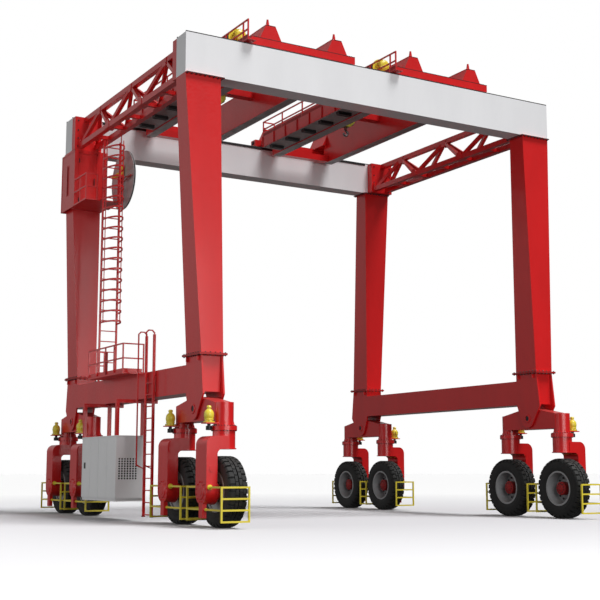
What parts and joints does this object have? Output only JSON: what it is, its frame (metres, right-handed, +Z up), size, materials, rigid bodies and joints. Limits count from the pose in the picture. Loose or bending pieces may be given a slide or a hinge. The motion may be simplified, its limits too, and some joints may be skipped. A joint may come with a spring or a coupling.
{
  "type": "rubber tyred gantry crane",
  "caption": "Wide portal crane on steered rubber tyres, with box girders, trolleys, equaliser bogies, end trusses, access ladders and a cable reel.",
  "frame": {"origin": "on the ground, at the middle of the machine's footprint", "axes": "+X along the girders, from the ladder side to the open side; +Y in the travel direction, from the front girder to the back girder; +Z up"},
  "size_m": [11.8, 12.39, 12.704],
  "materials": {
    "red_paint": "gloss industrial enamel",
    "white_paint": "gloss industrial enamel",
    "yellow_paint": "gloss industrial enamel",
    "cabinet_paint": "satin powder coat",
    "rim_paint": "satin enamel",
    "reel_paint": "satin enamel",
    "tyre_rubber": "matt moulded rubber"
  },
  "bodies": {
    "frame": {"front_girder": "white_paint", "back_girder": "white_paint", "left_legs": "red_paint", "right_legs": "red_paint", "left_sill": "red_paint", "right_sill": "red_paint", "left_end_truss": "red_paint", "right_end_truss": "red_paint", "access_platform": "red_paint", "ground_ladder": "red_paint", "caged_ladder": "red_paint", "reel_house": "red_paint", "power_cabinet": "cabinet_paint"},
    "cable_reel": {"cable_reel": "reel_paint"},
    "bogie_front_left": {"bogie_beam_front_left": "red_paint", "steering_motors_front_left": "yellow_paint"},
    "fork_front_left_1": {"fork_front_left_1": "red_paint", "guards_front_left_1": "yellow_paint"},
    "wheel_front_left_1": {"tyre_front_left_1": "tyre_rubber", "rim_front_left_1": "rim_paint"},
    "fork_front_left_2": {"fork_front_left_2": "red_paint", "guards_front_left_2": "yellow_paint"},
    "wheel_front_left_2": {"tyre_front_left_2": "tyre_rubber", "rim_front_left_2": "rim_paint"},
    "bogie_front_right": {"bogie_beam_front_right": "red_paint", "steering_motors_front_right": "yellow_paint"},
    "fork_front_right_1": {"fork_front_right_1": "red_paint", "guards_front_right_1": "yellow_paint"},
    "wheel_front_right_1": {"tyre_front_right_1": "tyre_rubber", "rim_front_right_1": "rim_paint"},
    "fork_front_right_2": {"fork_front_right_2": "red_paint", "guards_front_right_2": "yellow_paint"},
    "wheel_front_right_2": {"tyre_front_right_2": "tyre_rubber", "rim_front_right_2": "rim_paint"},
    "bogie_back_left": {"bogie_beam_back_left": "red_paint", "steering_motors_back_left": "yellow_paint"},
    "fork_back_left_1": {"fork_back_left_1": "red_paint", "guards_back_left_1": "yellow_paint"},
    "wheel_back_left_1": {"tyre_back_left_1": "tyre_rubber", "rim_back_left_1": "rim_paint"},
    "fork_back_left_2": {"fork_back_left_2": "red_paint", "guards_back_left_2": "yellow_paint"},
    "wheel_back_left_2": {"tyre_back_left_2": "tyre_rubber", "rim_back_left_2": "rim_paint"},
    "bogie_back_right": {"bogie_beam_back_right": "red_paint", "steering_motors_back_right": "yellow_paint"},
    "fork_back_right_1": {"fork_back_right_1": "red_paint", "guards_back_right_1": "yellow_paint"},
    "wheel_back_right_1": {"tyre_back_right_1": "tyre_rubber", "rim_back_right_1": "rim_paint"},
    "fork_back_right_2": {"fork_back_right_2": "red_paint", "guards_back_right_2": "yellow_paint"},
    "wheel_back_right_2": {"tyre_back_right_2": "tyre_rubber", "rim_back_right_2": "rim_paint"},
    "trolley_left": {"trolley_frame_left": "red_paint", "trolley_walkway_left": "red_paint", "hoist_left": "yellow_paint"},
    "trolley_right": {"trolley_frame_right": "red_paint", "trolley_walkway_right": "red_paint", "hoist_right": "yellow_paint"}
  },
  "joints": [
    {"name": "bogie_pivot_front_left", "type": "hinge", "parent": "frame", "child": "bogie_front_left", "pos_m": [-5.0325, -4.233, 2.71], "axis": [1, 0, 0], "range_deg": [-3, 3]},
    {"name": "steer_front_left_1", "type": "hinge", "parent": "bogie_front_left", "child": "fork_front_left_1", "pos_m": [-5.0325, -5.295, 2.2], "axis": [0, 0, 1], "range_deg": [0, 90]},
    {"name": "spin_front_left_1", "type": "hinge", "parent": "fork_front_left_1", "child": "wheel_front_left_1", "pos_m": [-5.0325, -5.295, 0.8], "axis": [1, 0, 0], "continuous": true},
    {"name": "steer_front_left_2", "type": "hinge", "parent": "bogie_front_left", "child": "fork_front_left_2", "pos_m": [-5.0325, -3.171, 2.2], "axis": [0, 0, 1], "range_deg": [0, 90]},
    {"name": "spin_front_left_2", "type": "hinge", "parent": "fork_front_left_2", "child": "wheel_front_left_2", "pos_m": [-5.0325, -3.171, 0.8], "axis": [1, 0, 0], "continuous": true},
    {"name": "bogie_pivot_front_right", "type": "hinge", "parent": "frame", "child": "bogie_front_right", "pos_m": [5.2325, -4.233, 2.71], "axis": [1, 0, 0], "range_deg": [-3, 3]},
    {"name": "steer_front_right_1", "type": "hinge", "parent": "bogie_front_right", "child": "fork_front_right_1", "pos_m": [5.2325, -5.295, 2.2], "axis": [0, 0, 1], "range_deg": [0, 90]},
    {"name": "spin_front_right_1", "type": "hinge", "parent": "fork_front_right_1", "child": "wheel_front_right_1", "pos_m": [5.2325, -5.295, 0.8], "axis": [1, 0, 0], "continuous": true},
    {"name": "steer_front_right_2", "type": "hinge", "parent": "bogie_front_right", "child": "fork_front_right_2", "pos_m": [5.2325, -3.171, 2.2], "axis": [0, 0, 1], "range_deg": [0, 90]},
    {"name": "spin_front_right_2", "type": "hinge", "parent": "fork_front_right_2", "child": "wheel_front_right_2", "pos_m": [5.2325, -3.171, 0.8], "axis": [1, 0, 0], "continuous": true},
    {"name": "bogie_pivot_back_left", "type": "hinge", "parent": "frame", "child": "bogie_back_left", "pos_m": [-5.0325, 4.233, 2.71], "axis": [1, 0, 0], "range_deg": [-3, 3]},
    {"name": "steer_back_left_1", "type": "hinge", "parent": "bogie_back_left", "child": "fork_back_left_1", "pos_m": [-5.0325, 5.295, 2.2], "axis": [0, 0, 1], "range_deg": [0, 90]},
    {"name": "spin_back_left_1", "type": "hinge", "parent": "fork_back_left_1", "child": "wheel_back_left_1", "pos_m": [-5.0325, 5.295, 0.8], "axis": [1, 0, 0], "continuous": true},
    {"name": "steer_back_left_2", "type": "hinge", "parent": "bogie_back_left", "child": "fork_back_left_2", "pos_m": [-5.0325, 3.171, 2.2], "axis": [0, 0, 1], "range_deg": [0, 90]},
    {"name": "spin_back_left_2", "type": "hinge", "parent": "fork_back_left_2", "child": "wheel_back_left_2", "pos_m": [-5.0325, 3.171, 0.8], "axis": [1, 0, 0], "continuous": true},
    {"name": "bogie_pivot_back_right", "type": "hinge", "parent": "frame", "child": "bogie_back_right", "pos_m": [5.2325, 4.233, 2.71], "axis": [1, 0, 0], "range_deg": [-3, 3]},
    {"name": "steer_back_right_1", "type": "hinge", "parent": "bogie_back_right", "child": "fork_back_right_1", "pos_m": [5.2325, 5.295, 2.2], "axis": [0, 0, 1], "range_deg": [0, 90]},
    {"name": "spin_back_right_1", "type": "hinge", "parent": "fork_back_right_1", "child": "wheel_back_right_1", "pos_m": [5.2325, 5.295, 0.8], "axis": [1, 0, 0], "continuous": true},
    {"name": "steer_back_right_2", "type": "hinge", "parent": "bogie_back_right", "child": "fork_back_right_2", "pos_m": [5.2325, 3.171, 2.2], "axis": [0, 0, 1], "range_deg": [0, 90]},
    {"name": "spin_back_right_2", "type": "hinge", "parent": "fork_back_right_2", "child": "wheel_back_right_2", "pos_m": [5.2325, 3.171, 0.8], "axis": [1, 0, 0], "continuous": true},
    {"name": "trolley_travel_left", "type": "slide", "parent": "frame", "child": "trolley_left", "axis": [1, 0, 0], "range_m": [-0.7, 0.55]},
    {"name": "trolley_travel_right", "type": "slide", "parent": "frame", "child": "trolley_right", "axis": [1, 0, 0], "range_m": [-0.5, 1.3]},
    {"name": "reel_spin", "type": "hinge", "parent": "frame", "child": "cable_reel", "pos_m": [-4.56, 2.415, 9.77], "axis": [1, 0, 0], "continuous": true}
  ]
}
